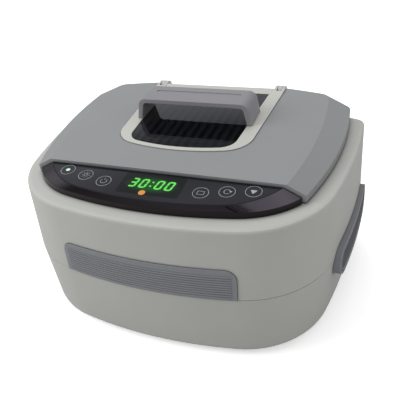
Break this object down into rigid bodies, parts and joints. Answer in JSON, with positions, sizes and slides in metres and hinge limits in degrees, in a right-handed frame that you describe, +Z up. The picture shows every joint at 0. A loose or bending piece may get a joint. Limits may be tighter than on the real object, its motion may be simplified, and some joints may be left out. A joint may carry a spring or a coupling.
{
  "type": "ultrasonic cleaner",
  "caption": "Bench-top ultrasonic cleaning bath with a rear-hinged lid, tinted window, strap handle, sloped touch panel, slotted basket in a steel tank and recessed side grips.",
  "frame": {"origin": "centre of the footprint at the height of the table, under the rubber feet", "axes": "+X to the object's own left-to-right as seen from the front, +Y from the front panel to the back, +Z up"},
  "size_m": [0.3148, 0.2322, 0.1726],
  "materials": {
    "casing_plastic": "fine moulded satin",
    "lid_plastic": "fine moulded satin",
    "lid_frame_plastic": "satin",
    "trim_plastic": "ribbed satin",
    "handle_plastic": "satin",
    "bezel_plastic": "high gloss",
    "lens_plastic": "high gloss",
    "window_plastic": "smoke tinted gloss",
    "tank_steel": "brushed",
    "basket_plastic": "satin",
    "seal_rubber": "matt",
    "foot_rubber": "matt",
    "horn_aluminium": "machined",
    "piezo_ceramic": "fired",
    "zinc_steel": "zinc plated",
    "silicone_mat": "smooth",
    "board_laminate": "lacquered",
    "black_plastic": "satin",
    "coil_copper": "lacquered wire and ferrite",
    "capacitor_sleeve": "sleeved",
    "contact_brass": "plated",
    "wire_insulation": "smooth"
  },
  "bodies": {
    "casing": {"base_shell": "casing_plastic", "upper_shell": "casing_plastic", "front_badge": "trim_plastic", "side_grip_right": "trim_plastic", "side_grip_left": "trim_plastic", "control_bezel": "bezel_plastic", "control_lens": "lens_plastic", "control_board": "board_laminate", "display_module": "black_plastic", "hinge_pin_left": "zinc_steel", "hinge_pin_right": "zinc_steel", "tank": "tank_steel", "tank_gasket": "seal_rubber", "basket": "basket_plastic", "transducer_horns": "horn_aluminium", "piezo_rings": "piezo_ceramic", "transducer_back_masses": "zinc_steel", "transducer_bolts": "zinc_steel", "heater_mat": "silicone_mat", "thermostat": "zinc_steel", "driver_board": "board_laminate", "heat_sink": "horn_aluminium", "output_transformer": "coil_copper", "filter_capacitors": "capacitor_sleeve", "fan_frame": "black_plastic", "fan_screws": "zinc_steel", "power_inlet": "black_plastic", "inlet_pins": "contact_brass", "wiring": "wire_insulation", "rubber_feet": "foot_rubber", "case_screws": "zinc_steel", "inlet_screws": "zinc_steel"},
    "lid": {"lid_cover": "lid_plastic", "lid_frame": "lid_frame_plastic", "lid_window": "window_plastic", "lid_handle": "handle_plastic", "handle_screws": "zinc_steel", "lid_liner": "casing_plastic", "liner_screws": "zinc_steel", "lid_bumpers": "seal_rubber"},
    "fan": {"fan_rotor": "black_plastic"}
  },
  "joints": [
    {"name": "lid_hinge", "type": "hinge", "parent": "casing", "child": "lid", "pos_m": [0, 0.108, 0.147], "axis": [-1, 0, 0], "range_deg": [0, 95]},
    {"name": "fan_spin", "type": "hinge", "parent": "casing", "child": "fan", "pos_m": [0.098, -0.028, 0], "axis": [0, 0, 1], "continuous": true}
  ]
}
